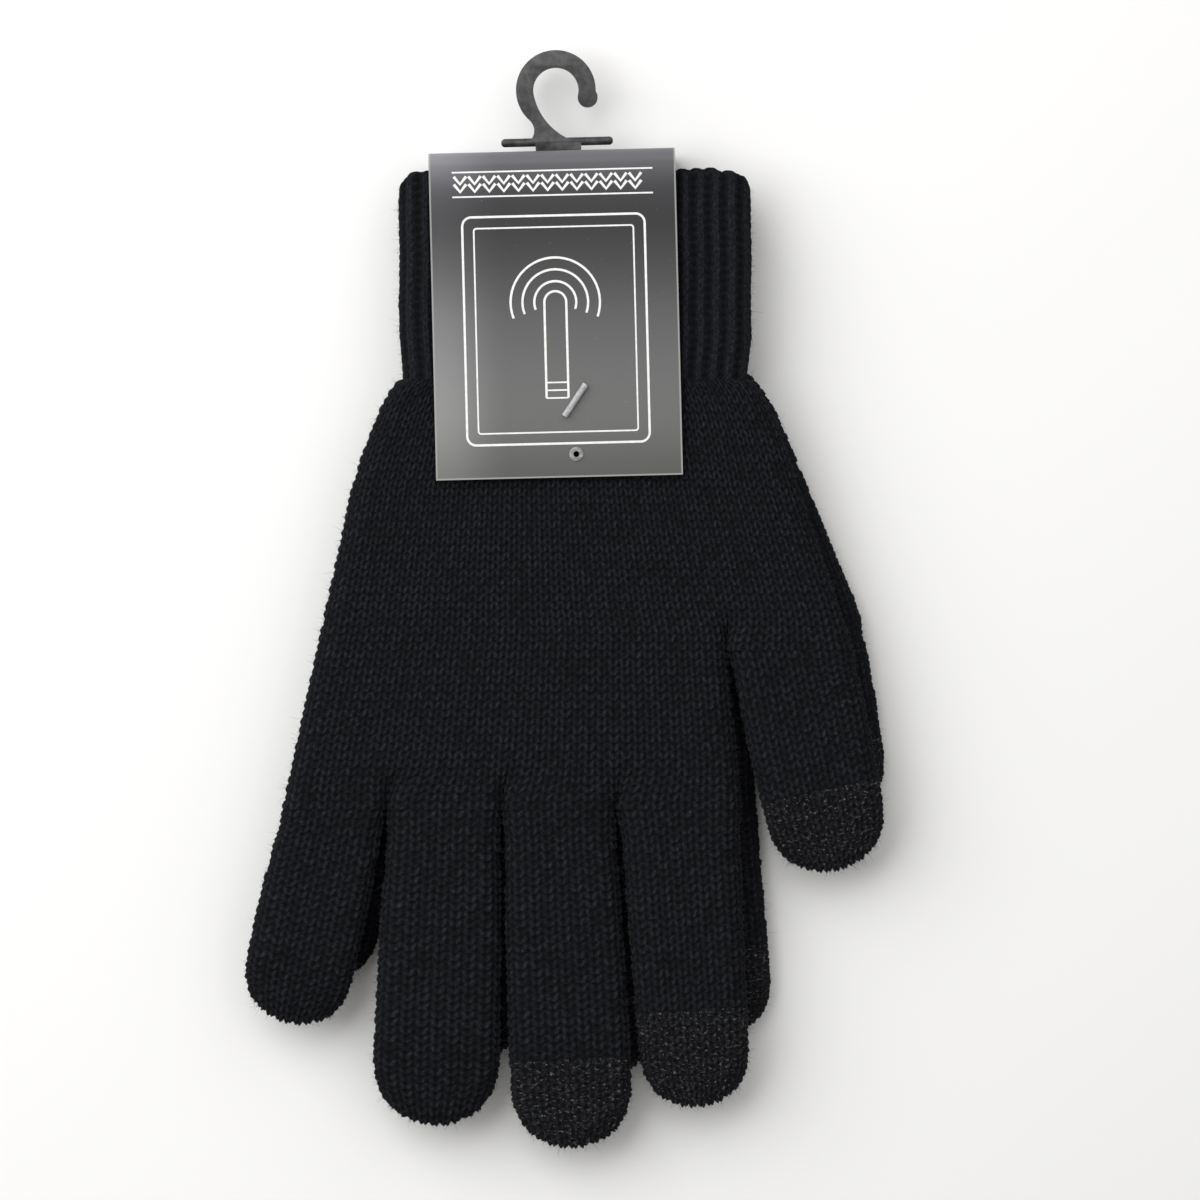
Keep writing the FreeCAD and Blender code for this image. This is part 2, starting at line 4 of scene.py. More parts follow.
import bmesh
import bpy
import numpy as np
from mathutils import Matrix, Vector


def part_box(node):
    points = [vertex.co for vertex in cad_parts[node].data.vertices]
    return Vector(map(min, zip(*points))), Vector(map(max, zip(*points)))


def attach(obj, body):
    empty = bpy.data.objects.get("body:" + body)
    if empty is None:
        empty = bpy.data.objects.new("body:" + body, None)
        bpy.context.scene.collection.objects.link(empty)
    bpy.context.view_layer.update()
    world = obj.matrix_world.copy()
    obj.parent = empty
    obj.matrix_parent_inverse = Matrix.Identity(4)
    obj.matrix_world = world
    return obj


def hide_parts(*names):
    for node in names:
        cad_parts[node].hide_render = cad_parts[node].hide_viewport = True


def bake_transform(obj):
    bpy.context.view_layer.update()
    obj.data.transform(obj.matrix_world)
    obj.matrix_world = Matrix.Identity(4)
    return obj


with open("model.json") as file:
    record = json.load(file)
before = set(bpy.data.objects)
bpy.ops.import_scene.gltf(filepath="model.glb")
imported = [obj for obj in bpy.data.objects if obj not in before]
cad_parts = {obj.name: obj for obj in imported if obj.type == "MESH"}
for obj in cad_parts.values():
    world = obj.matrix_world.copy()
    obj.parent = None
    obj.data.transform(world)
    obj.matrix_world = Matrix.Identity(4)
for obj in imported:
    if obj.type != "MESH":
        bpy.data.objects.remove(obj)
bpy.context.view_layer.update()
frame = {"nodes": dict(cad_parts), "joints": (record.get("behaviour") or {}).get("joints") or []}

mm = 0.001
quarterTurn = math.pi / 2
nodes = frame["nodes"]
joints = {joint["name"]: joint for joint in frame["joints"]}
scene = bpy.context.scene
print("frame loaded:", len(nodes), "nodes")


# ease: 0 below 0, 1 above 1, and three t squared less two t cubed between
def ease(t):
    t = np.clip(t, 0, 1)
    return t * t * (3 - 2 * t)


# mix: from a to b by share
def mix(a, b, share):
    return a + (b - a) * share


# gloves are worked out in millimetres about the tag pin, X across the hand, Y to the cuff, Z off the floor
gloveLook = {
    "upper": {"waleVerts": 8, "courseVerts": 5, "thumbLean": 12.0, "sag": 0.3, "droop": 3.0, "fuzz": 2.2,
              "cuffHalf": 38.6},
    "lower": {"waleVerts": 6, "courseVerts": 4, "thumbLean": 8.5, "sag": 0.5, "droop": 1.2, "fuzz": 1.4,
              "cuffHalf": 36.7},
}
knit = {
    "courseHigh": 1.84,      # one row of stitches
    "relief": 0.52,          # how far a stitch stands out
    "foldBoost": 0.7,        # extra relief at a folded side, where the stitches are seen edge on
    "bend": 12.0,            # a length from a finger's root
    "sideRoom": 0.7,         # the fabric lies this far inside a finger's outline, for the stitches to fill
    "scallop": 0.42,         # how far each wale bulges at a closed tip
    "ribRelief": 0.9,
    "wall": 1.3,             # thickness of the fabric
    "edge": 4.8,             # how far the rounding of a folded side reaches in
    "handHalf": 3.45,        # half thickness of the hand
    "fingerHalf": 3.2,
    "cuffHalf": 3.35,
    "seed": 5,
}
fingers = {
    "little": {"wales": 9, "root": 22.2, "tip": 24.6, "long": 48.4, "lean": -12.5, "swell": 1.0, "touch": 0},
    "ring": {"wales": 9, "root": 24.4, "tip": 28.6, "long": 70.0, "lean": -1.9, "swell": 0.9, "touch": 0},
    "middle": {"wales": 9, "root": 24.2, "tip": 27.5, "long": 75.0, "lean": 2.5, "swell": 0.8, "touch": 22.7},
    "index": {"wales": 10, "root": 26.8, "tip": 24.8, "long": 66.0, "lean": 3.6, "swell": 0.4, "touch": 23.5},
    "thumb": {"wales": 11, "root": 27.0, "tip": 26.8, "long": 49.7, "lean": 0, "swell": 1.0, "touch": 20.5},
}
palmFingers = ["little", "ring", "middle", "index"]
hand = {
    "wales": 48,
    "knuckleWales": 37,                # those of the four fingers together
    "courses": [0, 13, 33, 52],        # at the wrist, the flare's end, the thumb line and the knuckles
    "wrist": 4.6,                      # above the tag pin
    "mouth": 49.8,
    "long": 95.0,                      # wrist to knuckles; reach is the share of it that a glove has
    "wristHalf": 37.6,
    "flareHalf": 48.9,
    "flareLong": 24.0,
    "flareBow": 0.62,                  # power of the widening: under 1, the side bows out
    "crotchLead": 7,                   # courses over which the valleys between fingers deepen
}


# sideOf: where one glove lies: its pin, turn, height and fingers' roots come from the frame, the rest from hand
# and gloveLook
def sideOf(side):
    pin = np.array(joints[f"{side}_fan"]["pos_m"]) / mm
    axis = np.array(joints[f"{side}_ring_curl"]["axis"])
    axis = axis * np.sign(axis[0])
    low, high = (np.array(corner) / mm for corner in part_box(f"{side}_cuff"))
    place = {"name": side, "pin": pin, "along": axis[:2], "look": gloveLook[side], "roots": {}}
    for finger in fingers:
        offset = np.array(joints[f"{side}_{finger}_curl"]["pos_m"])[:2] / mm - pin[:2]
        place["roots"][finger] = (offset @ axis[:2], offset @ np.array([-axis[1], axis[0]]))
    place["middle"] = (low[2] + high[2]) / 2
    place["knuckles"] = place["roots"]["ring"][1] + 0.4
    place["thumbLine"] = place["roots"]["thumb"][1] + 0.4
    place["wrist"] = hand["wrist"]
    place["reach"] = (place["wrist"] - place["knuckles"]) / hand["long"]
    place["mouth"] = hand["mouth"]
    place["cuffHalf"] = gloveLook[side]["cuffHalf"]
    return place


# toFrame: turned about the pin by the glove's angle, moved to the pin, and in metres
def toFrame(place, points):
    x, y, z = points[..., 0], points[..., 1], points[..., 2]
    cos, sin = place["along"]
    world = [place["pin"][0] + x * cos - y * sin, place["pin"][1] + x * sin + y * cos, z]
    return np.stack(world, -1) * mm


# flatRing: across a flat tube by arc length: a quarter ellipse up, the flat, a quarter ellipse down
# share runs 0 to 1 from the left fold to the right one; gives the place across and the lift, 0 to 1
def flatRing(share, wide, edge, half):
    quarter = quarterTurn * math.sqrt((edge**2 + half**2) / 2)
    along = share * (wide - 2 * edge + 2 * quarter)
    mirrored = along > (wide - 2 * edge + 2 * quarter) / 2
    near = np.where(mirrored, wide - 2 * edge + 2 * quarter - along, along)
    angle = np.clip(near / quarter, 0, 1) * quarterTurn
    inwards = np.where(near < quarter, edge * (1 - np.cos(angle)), edge + near - quarter)
    across = np.where(mirrored, wide / 2 - inwards, inwards - wide / 2)
    return across, np.sin(angle)


# ringColumns: front columns from the left fold to the right one, then the back ones home again
def ringColumns(wales, waleVerts):
    count = wales * waleVerts
    step = np.arange(2 * count)
    share = np.where(step <= count, step / count, 2 - step / count)
    side = np.where(step <= count, 1.0, -1.0)
    return share, side, step / waleVerts


# uneven: every leg of every stitch gets its own share of height from one seeded table
legTable = np.random.default_rng(knit["seed"]).uniform(0.5, 1.25, (128, 256))


def uneven(wale, course):
    leg = np.floor(wale * 2).astype(int) % 128
    return legTable[leg, np.floor(np.abs(course)).astype(int) % 256]


# jersey: each wale has two rounded legs that lean out from its middle at the foot of a stitch to its edge at
# the head; the legs swell in the middle of each course
def jersey(wale, course):
    aside = np.abs(wale % 1 - 0.5)
    fall = course % 1
    leg = 0.36 - 0.25 * fall
    rounded = np.exp(-(((aside - leg) / 0.16) ** 2))
    return np.minimum(1, rounded * (0.6 + 0.4 * np.sin(math.pi * fall)) * uneven(wale, course))


# ribbing: knit wales stand up as ridges, a raised cosine two wales wide, and purl wales sink and show bars
def ribbing(wale, course):
    ridge = np.cos(quarterTurn * (wale - 0.5)) ** 2
    bars = 0.12 + 0.12 * np.cos(2 * math.pi * course)
    return ridge * (0.62 + 0.38 * jersey(wale, course)) + (1 - ridge) * bars


# wander: slow bumps in the fabric, a sum of six waves of random direction, length and phase
def wander(points, size, length, seed):
    rng = np.random.default_rng(seed)
    total = np.zeros(points.shape[:-1])
    for _ in range(6):
        heading = rng.uniform(0, 2 * math.pi)
        wave = length * rng.uniform(0.6, 1.6)
        phase = rng.uniform(0, 2 * math.pi)
        travel = points[..., 0] * math.cos(heading) + points[..., 1] * math.sin(heading)
        total += np.sin(2 * math.pi * travel / wave + phase)
    return total * size / 3


# outwardOf: the cross product of the steps along and down a grid that closes across, made to point away
# from the tube's middle
def outwardOf(points, side):
    across = np.roll(points, -1, 1) - np.roll(points, 1, 1)
    down = np.gradient(points, axis=0)
    normal = np.cross(down, across)
    normal /= np.linalg.norm(normal, axis=-1, keepdims=True) + 1e-9
    flat = np.abs(normal[..., 2]) > 0.05
    wrong = (normal[..., 2] * side < 0) & flat
    share = wrong.sum() / max(1, flat.sum())
    return normal * (-1 if share > 0.5 else 1)


# loose fibres: how many for each point of the fabric, and their size
fibres = {"hand": 0.012, "cuff": 0.010, "finger": 0.02, "tip": 0.03, "radius": 0.022, "stray": 0.55,
          "curl": 0.7, "shape": 3.0, "long": 0.32, "least": 0.3, "most": 2.4}


# needles: thin three-sided fibres with a closed foot and a sharp tip, bent once on the way
def needles(feet, ways, bends, lengths, radius):
    ways = ways / np.linalg.norm(ways, axis=1, keepdims=True)
    side = np.cross(ways, [0.3, 0.5, 0.81])
    side /= np.linalg.norm(side, axis=1, keepdims=True)
    other = np.cross(ways, side)
    middle = feet + ways * lengths[:, None] * 0.5 + bends * lengths[:, None] * 0.12
    tip = feet + ways * lengths[:, None] * 0.9 + bends * lengths[:, None] * 0.5
    rings = []
    for centre, girth in ((feet, radius), (middle, radius * 0.8)):
        for turn in (0, 1, 2):
            angle = turn * 2 * math.pi / 3
            rings.append(centre + girth * (side * math.cos(angle) + other * math.sin(angle)))
    points = np.stack(rings + [tip], 1)
    start = np.arange(len(feet))[:, None, None] * 7
    quads = start + np.array([[0, 1, 4, 3], [1, 2, 5, 4], [2, 0, 3, 5]])
    tris = start + np.array([[2, 1, 0], [3, 4, 6], [4, 5, 6], [5, 3, 6]])
    return points.reshape(-1, 3), quads.reshape(-1, 4), tris.reshape(-1, 3)


# meshFrom: one mesh from arrays of points, four-sided and three-sided faces, with uv for each quad corner
def meshFrom(name, points, quads, tris=None, uv=None, triMaterial=0, quadMaterial=None, rise=None):
    tris = np.zeros((0, 3), int) if tris is None else tris
    mesh = bpy.data.meshes.new(name)
    mesh.vertices.add(len(points))
    mesh.vertices.foreach_set("co", np.asarray(points, np.float32).ravel())
    mesh.loops.add(quads.size + tris.size)
    mesh.loops.foreach_set("vertex_index", np.concatenate([quads.ravel(), tris.ravel()]).astype(np.int32))
    mesh.polygons.add(len(quads) + len(tris))
    starts = np.concatenate([np.arange(len(quads)) * 4, quads.size + np.arange(len(tris)) * 3])
    mesh.polygons.foreach_set("loop_start", starts.astype(np.int32))
    if uv is not None:
        layer = mesh.uv_layers.new(name="stitches")
        spare = np.zeros((quads.size + tris.size - len(uv), 2))
        layer.data.foreach_set("uv", np.concatenate([uv, spare]).astype(np.float32).ravel())
    kinds = np.full(len(quads) + len(tris), triMaterial, np.int32)
    kinds[: len(quads)] = 0 if quadMaterial is None else quadMaterial
    mesh.polygons.foreach_set("material_index", kinds)
    mesh.polygons.foreach_set("use_smooth", np.ones(len(kinds), bool))
    mesh.update(calc_edges=True)
    mesh.validate()
    if rise is not None:
        layer = mesh.attributes.new("rise", "FLOAT", "POINT")
        layer.data.foreach_set("value", np.asarray(rise, np.float32))
    made = bpy.data.objects.new(name, mesh)
    scene.collection.objects.link(made)
    return made


# creaseRows: edges that run along the named rows shade sharply, so the hidden ends don't darken the stitches
def creaseRows(made, rowOf, rows):
    mesh = made.data
    pairs = np.empty(len(mesh.edges) * 2, np.int32)
    mesh.edges.foreach_get("vertices", pairs)
    ends = rowOf[pairs].reshape(-1, 2)
    layer = mesh.attributes.new("sharp_edge", "BOOLEAN", "EDGE")
    layer.data.foreach_set("value", (ends[:, 0] == ends[:, 1]) & np.isin(ends[:, 0], rows))


# knitShell: a grid closed across; its ends either join each other or are each zipped flat, front to back
# the faces are turned round if the volume inside comes out negative
def knitShell(name, place, points, wale, course, zipped, fuzz, seed, normals, rise, creases):
    rows, columns = points.shape[:2]
    index = np.arange(rows * columns).reshape(rows, columns)
    half = columns // 2
    if zipped:
        for row in (0, rows - 1):
            index[row, half + 1 :] = index[row, 1:half][::-1]
    down = index if zipped else np.vstack([index, index[:1]])
    ring = np.hstack([down, down[:, :1]])
    quads = np.stack([ring[:-1, :-1], ring[:-1, 1:], ring[1:, 1:], ring[1:, :-1]], -1).reshape(-1, 4)
    walePlus = np.hstack([wale, wale[:, -1:] + wale[:, 1:2] - wale[:, :1]])
    coursePlus = np.hstack([course, course[:, :1]])
    if not zipped:
        walePlus = np.vstack([walePlus, walePlus[:1]])
        coursePlus = np.vstack([coursePlus, coursePlus[-1:]])
    both = np.stack([walePlus, coursePlus], -1)
    uv = np.stack([both[:-1, :-1], both[:-1, 1:], both[1:, 1:], both[1:, :-1]], -2).reshape(-1, 2)
    world = toFrame(place, points).reshape(-1, 3)
    world[:, 2] = world[:, 2].clip(0.00005, None)          # the lowest stitches are pressed flat
    a, b, c, d = (world[quads[:, corner]] for corner in range(4))
    volume = (np.einsum("ij,ij->i", a, np.cross(b, c)) + np.einsum("ij,ij->i", a, np.cross(c, d))).sum()
    if volume < 0:
        quads = quads[:, ::-1]
        uv = uv.reshape(-1, 4, 2)[:, ::-1].reshape(-1, 2)
    used, flat = np.unique(quads, return_inverse=True)
    quads = flat.reshape(-1, 4)
    world = world[used]
    rowOf = used // columns
    rise = rise.ravel()[used]
    rng = np.random.default_rng(seed)
    outer = np.argwhere(np.linalg.norm(normals, axis=-1) > 0.5)
    count = int(len(outer) * fuzz)
    level = 1 - np.abs(normals[outer[:, 0], outer[:, 1], 2])
    chance = 0.06 + level**2
    picked = outer[rng.choice(len(outer), count, p=chance / chance.sum())]
    feet = points[picked[:, 0], picked[:, 1]]
    ways = normals[picked[:, 0], picked[:, 1]] + rng.normal(0, fibres["stray"], (count, 3))
    bends = rng.normal(0, fibres["curl"], (count, 3))
    lengths = rng.gamma(fibres["shape"], fibres["long"], count).clip(fibres["least"], fibres["most"])
    fibre, fibreQuads, fibreTris = needles(feet, ways, bends, lengths, fibres["radius"])
    fibre = toFrame(place, fibre)
    fibre[:, 2] = fibre[:, 2].clip(0.0001, world[:, 2].max())          # none reach up through the card
    shift = len(world)
    kinds = np.concatenate([np.zeros(len(quads)), np.ones(len(fibreQuads))])
    uv = np.concatenate([uv, np.zeros((fibreQuads.size, 2))])
    quads = np.concatenate([quads, fibreQuads + shift])
    rise = np.concatenate([rise, np.full(len(fibre), 0.8)])
    made = meshFrom(name, np.concatenate([world, fibre]), quads, fibreTris + shift, uv, 1, kinds, rise)
    creaseRows(made, np.concatenate([rowOf, np.full(len(fibre), -1)]), creases)
    return made


# rowMiddle: height of the fabric's middle layer, sinking by the glove's sag from the wrist to the knuckles
def rowMiddle(place, y):
    return place["middle"] - place["look"]["sag"] * ease((place["wrist"] - y) / 60)


# handGrid: rows of the hand between two courses, for a fabric moved in by inset
# the sides follow the hand's outline; near the thumb line and the knuckles each finger's own flat ring
# takes over from the whole hand's
def handGrid(place, courseRows, wales, inset):
    look = place["look"]
    levels = [place["wrist"], place["wrist"] - hand["flareLong"] * place["reach"]]
    levels += [place["thumbLine"], place["knuckles"]]
    y = np.interp(courseRows, hand["courses"], levels)[:, None]
    fall = np.clip((levels[0] - y) / (levels[0] - levels[1]), 0, 1)
    flare = mix(hand["wristHalf"], hand["flareHalf"], fall ** hand["flareBow"])
    roots = place["roots"]
    leftEnd = roots["little"][0] - fingers["little"]["root"] / 2 - 0.2
    thumbRight = roots["thumb"][0] + fingers["thumb"]["root"] / 2 + 0.2
    thumbLeft = roots["thumb"][0] - fingers["thumb"]["root"] / 2 - 0.8
    indexRight = roots["index"][0] + fingers["index"]["root"] / 2 + 0.2
    below = np.clip((levels[1] - y) / (levels[1] - levels[3]), 0, 1)
    left = np.where(fall < 1, -flare, mix(-hand["flareHalf"], leftEnd, below))
    whole = wales == hand["wales"]
    if whole:
        toThumb = np.clip((levels[1] - y) / (levels[1] - levels[2]), 0, 1)
        right = np.where(fall < 1, flare, mix(hand["flareHalf"], thumbRight, toThumb))
        splits = [0, 37, 48]
        borders = [left, thumbLeft + 0 * y, right]
        lastCourse = hand["courses"][2]
    else:
        right = mix(thumbLeft, indexRight, np.clip((levels[2] - y) / (levels[2] - levels[3]), 0, 1))
        splits = [0, 9, 18, 27, 37]
        borders = [left]
        for one, two in zip(palmFingers[:-1], palmFingers[1:]):
            rightOfOne = roots[one][0] + fingers[one]["root"] / 2
            borders.append((rightOfOne + roots[two][0] - fingers[two]["root"] / 2) / 2 + 0 * y)
        borders.append(right)
        lastCourse = hand["courses"][3]
    share, side, wale = ringColumns(wales, look["waleVerts"])
    half = knit["handHalf"] - inset
    edge = knit["edge"] - inset / 2
    across, lift = flatRing(share[None, :], right - left - 2 * inset, edge, half)
    x = (left + right) / 2 + across
    spot = share * wales
    ownX = spot + 0 * y
    ownLift = 0 * ownX
    for first, last, start, end in zip(splits[:-1], splits[1:], borders[:-1], borders[1:]):
        here = (spot >= first) & (spot <= last)
        ownShare = (spot[here] - first) / (last - first)
        ownAcross, ownHeight = flatRing(ownShare[None, :], end - start - 2 * inset, edge, half)
        ownX[:, here] = (start + end) / 2 + ownAcross
        ownLift[:, here] = ownHeight
    lead = hand["crotchLead"]
    turnOver = ease((courseRows[:, None] - lastCourse + lead) / lead) ** 1.6
    x = mix(x, ownX, turnOver)
    lift = mix(lift, ownLift, turnOver)
    z = rowMiddle(place, y) + side[None, :] * lift * half
    points = np.stack([x, y + 0 * x, z], -1)
    points[..., 2] += wander(points, 0.16, 26, knit["seed"]) * lift
    return points, np.broadcast_to(wale, x.shape), np.broadcast_to(courseRows[:, None], x.shape), side


# closedFabric: outer rows with the stitches' relief, then the inner skin's rows back to where they began
def closedFabric(name, place, grid, courseRows, innerRows, relief, amount, fuzz, seed):
    outer, wale, course, side = grid(courseRows, 0.0)
    inner = grid(innerRows, knit["wall"])[0]
    normals = outwardOf(outer, side[None, :])
    high = relief(wale, course)
    boost = 1 + knit["foldBoost"] * (1 - np.abs(normals[..., 2]))
    raised = outer + normals * ((high - 0.3) * amount * boost)[..., None]
    points = np.concatenate([raised, inner[::-1]])
    blank = np.zeros((len(innerRows), outer.shape[1]))
    courses = np.concatenate([course, np.broadcast_to(innerRows[::-1, None], blank.shape)])
    wales = np.concatenate([wale, np.broadcast_to(wale[:1], blank.shape)])
    facing = np.concatenate([normals, np.zeros(inner.shape)])
    rise = np.concatenate([high, blank])
    creases = [0, len(raised) - 1]
    return knitShell(name, place, points, wales, courses, False, fuzz, seed, facing, rise, creases)


# rowsBetween: evenly spaced rows of vertices from one course to another
def rowsBetween(first, last, perCourse):
    return np.linspace(first, last, int(round((last - first) * perCourse)) + 1)


# makeHand: flare, palm and knuckles, each a closed piece of fabric that meets the next
def makeHand(place):
    side = place["name"]
    look = place["look"]
    marks = hand["courses"]
    made = []
    for part, (first, last, wales) in enumerate(
        [
            (marks[0], marks[1], hand["wales"]),
            (marks[1], marks[2], hand["wales"]),
            (marks[2], marks[3], hand["knuckleWales"]),
        ]
    ):
        name = f"{side}_hand_{['flare', 'palm', 'knuckles'][part]}"
        rows = rowsBetween(first, last, look["courseVerts"])
        inner = np.linspace(first, last, 9)
        grid = lambda r, inset, wales=wales: handGrid(place, r, wales, inset)
        piece = closedFabric(
            name, place, grid, rows, inner, jersey, knit["relief"], fibres["hand"] * look["fuzz"],
            knit["seed"] + part,
        )
        made.append(piece)
    return made


# cuffGrid: a flat tube from the wrist to the mouth, whose corners fall away on a quarter circle
cuff = {"courses": 24, "courseVerts": 4, "corner": 4.2, "waves": 0.25, "thinning": 0.24}


def cuffGrid(place, courseRows, inset):
    look = place["look"]
    share, side, wale = ringColumns(hand["wales"], look["waleVerts"])
    rise = courseRows[:, None] / cuff["courses"]
    halfWide = mix(hand["wristHalf"] + 0.1, place["cuffHalf"], ease(rise * 4)) - inset
    half = knit["cuffHalf"] - inset
    # thinner at the mouth, clear of the card's fold
    thin = 1 - cuff["thinning"] * ease((rise - 0.72) / 0.28)
    across, lift = flatRing(share[None, :], 2 * halfWide, knit["edge"] - inset / 2, half)
    beyond = np.clip(np.abs(across) - (halfWide - cuff["corner"]), 0, cuff["corner"])
    drop = cuff["corner"] - np.sqrt(cuff["corner"] ** 2 - beyond**2)
    tall = place["mouth"] - place["wrist"]
    y = place["wrist"] + rise * (tall - drop * 0.9)
    y = y + cuff["waves"] * rise**6 * np.cos(math.pi * (wale[None, :] - 0.5))
    z = rowMiddle(place, y) + side[None, :] * lift * half * thin
    points = np.stack([across, y, z], -1)
    points[..., 2] += wander(points, 0.12, 20, knit["seed"] + 3) * lift
    points[..., 0] += wander(points * [0, 1, 0], 0.35, 22, knit["seed"] + 4) * ease(rise * 3)
    courses = np.broadcast_to(-courseRows[:, None], across.shape)
    return points, np.broadcast_to(wale, across.shape), courses, side


# makeCuff: outer rows up to the mouth, over a rounded lip, and the inner skin back down
def makeCuff(place):
    look = place["look"]
    rows = rowsBetween(0, cuff["courses"], cuff["courseVerts"])
    outer, wale, course, side = cuffGrid(place, rows, 0.0)
    normals = outwardOf(outer, side[None, :])
    fade = 1 - 0.35 * ease((rows[:, None] - cuff["courses"] + 2) / 2)
    high = ribbing(wale, course)
    height = (high - 0.55) * knit["ribRelief"] * fade
    raised = outer + normals * height[..., None]
    inner = cuffGrid(place, np.linspace(0, cuff["courses"], 10), knit["wall"])[0]
    lip = []
    for turn in (0.3, 0.6, 0.85):
        angle = turn * math.pi
        spot = mix(raised[-1], inner[-1], (1 - math.cos(angle)) / 2)
        spot[:, 1] += math.sin(angle) * knit["wall"] / 2
        lip.append(spot)
    points = np.concatenate([raised, np.array(lip), inner[::-1]])
    extra = len(points) - len(rows)
    wales = np.concatenate([wale, np.broadcast_to(wale[:1], (extra, wale.shape[1]))])
    courses = np.concatenate([course, np.full((extra, wale.shape[1]), -float(cuff["courses"]))])
    facing = np.concatenate([normals, np.zeros((extra, *normals.shape[1:]))])
    seed = knit["seed"] + 20
    # the lip and the inner skin get a middling rise, so partly the painted pit shade
    rise = np.concatenate([high, np.full((extra, wale.shape[1]), 0.4)])
    fuzz = fibres["cuff"] * look["fuzz"]
    name = f"{place['name']}_cuff_rib"
    return knitShell(name, place, points, wales, courses, False, fuzz, seed, facing, rise, [0])


# fingerShape: what one finger of one glove measures, with its root read from the frame
def fingerShape(place, finger):
    plan = fingers[finger]
    lean = math.radians(place["look"]["thumbLean"] if finger == "thumb" else plan["lean"])
    radius = plan["tip"] / 2
    length = plan["long"] * place["reach"] + 0.4
    edge, half = knit["edge"], knit["fingerHalf"]
    quarter = quarterTurn * math.sqrt((edge**2 + half**2) / 2)
    total = length - edge + quarter
    courses = int(round(total / (knit["courseHigh"] * place["reach"])))
    shape = {"plan": plan, "lean": lean, "radius": radius, "length": length, "total": total}
    shape["courses"] = courses
    line = place["thumbLine"] if finger == "thumb" else place["knuckles"]
    shape["root"] = (place["roots"][finger][0], line)
    shape["seam"] = courses - int(round(plan["touch"] / knit["courseHigh"])) if plan["touch"] else courses
    return shape


# fingerGrid: down the finger the rows turn from the root line to square with its lean; the round end bends
# a square grid into a half disc: x shrinks by the root of 1 - q*q/2 and y by the root of 1 - p*p/2
def fingerGrid(place, shape, courseRows, inset):
    look, plan = place["look"], shape["plan"]
    share, side, wale = ringColumns(plan["wales"], look["waleVerts"])
    edge = knit["edge"] - inset / 2
    travel = courseRows[:, None] / shape["courses"] * shape["total"]
    shoulder = shape["length"] - shape["radius"]
    radius = shape["radius"] - knit["sideRoom"] - inset
    quarter = shape["total"] - (shape["length"] - knit["edge"])
    inCap = np.clip(travel - shoulder, 0, None)
    flatLong = shape["radius"] - knit["edge"]
    turn = np.clip((inCap - flatLong) / quarter, 0, 1) * quarterTurn
    q = np.minimum(inCap, flatLong) / shape["radius"] + knit["edge"] / shape["radius"] * np.sin(turn)
    down = np.minimum(travel, shoulder)
    shareDown = down / shoulder
    thick = mix(knit["handHalf"], knit["fingerHalf"], ease(shareDown * 3)) - inset
    halfWide = mix(plan["root"] / 2, shape["radius"], shareDown ** 0.8)
    halfWide = halfWide + plan["swell"] / 2 * np.sin(math.pi * shareDown ** 0.8) - inset
    halfWide = halfWide - knit["sideRoom"] * ease(shareDown * 8)
    across, lift = flatRing(share[None, :], 2 * halfWide, edge, knit["fingerHalf"] - inset)
    p = across / halfWide
    capX = p * np.sqrt(1 - q * q / 2)
    capY = q * np.sqrt(1 - p * p / 2)
    x = capX * np.where(q > 0, radius, halfWide)
    outline = np.sqrt(np.clip(p * p + q * q - p * p * q * q, 0, 1))
    inward = np.clip((1 - outline) * radius / edge, 0, 1)
    lift = np.where(q > 0, np.sqrt(np.clip(1 - (1 - inward) ** 2, 0, 1)), lift)
    y = down + capY * radius
    tilt = shape["lean"] * ease(travel / 14)
    spineX = y * math.sin(shape["lean"])
    spineY = -y * math.cos(shape["lean"])
    fx = shape["root"][0] + spineX + x * np.cos(tilt)
    fy = shape["root"][1] + spineY + x * np.sin(tilt)
    droop = look["droop"] * ease((y / shape["length"] - 0.62) / 0.38)
    z = rowMiddle(place, fy) - droop + side[None, :] * lift * thick
    points = np.stack([fx, fy, z], -1)
    settle = ease(shareDown * 4)
    points[..., 2] += wander(points, 0.16, 26, knit["seed"]) * lift * (1 - settle)
    points[..., 2] += wander(points, 0.18, 18, knit["seed"] + 7) * lift * settle
    # the way out is level at a fold and upright on the flat
    outX = np.where(q > 0, capX / np.maximum(outline, 1e-6), np.sign(p + 1e-9))
    outY = np.where(q > 0, capY / np.maximum(outline, 1e-6), 0)
    level = np.sqrt(np.clip(1 - lift**2, 0, 1))
    lean = shape["lean"]
    normals = np.stack(
        [
            level * (outX * math.cos(lean) + outY * math.sin(lean)),
            level * (outX * math.sin(lean) - outY * math.cos(lean)),
            side[None, :] * lift,
        ],
        -1,
    )
    normals /= np.linalg.norm(normals, axis=-1, keepdims=True) + 1e-9
    wales = np.broadcast_to(wale, x.shape)
    courses = np.broadcast_to(courseRows[:, None], x.shape)
    return points, wales, courses, normals


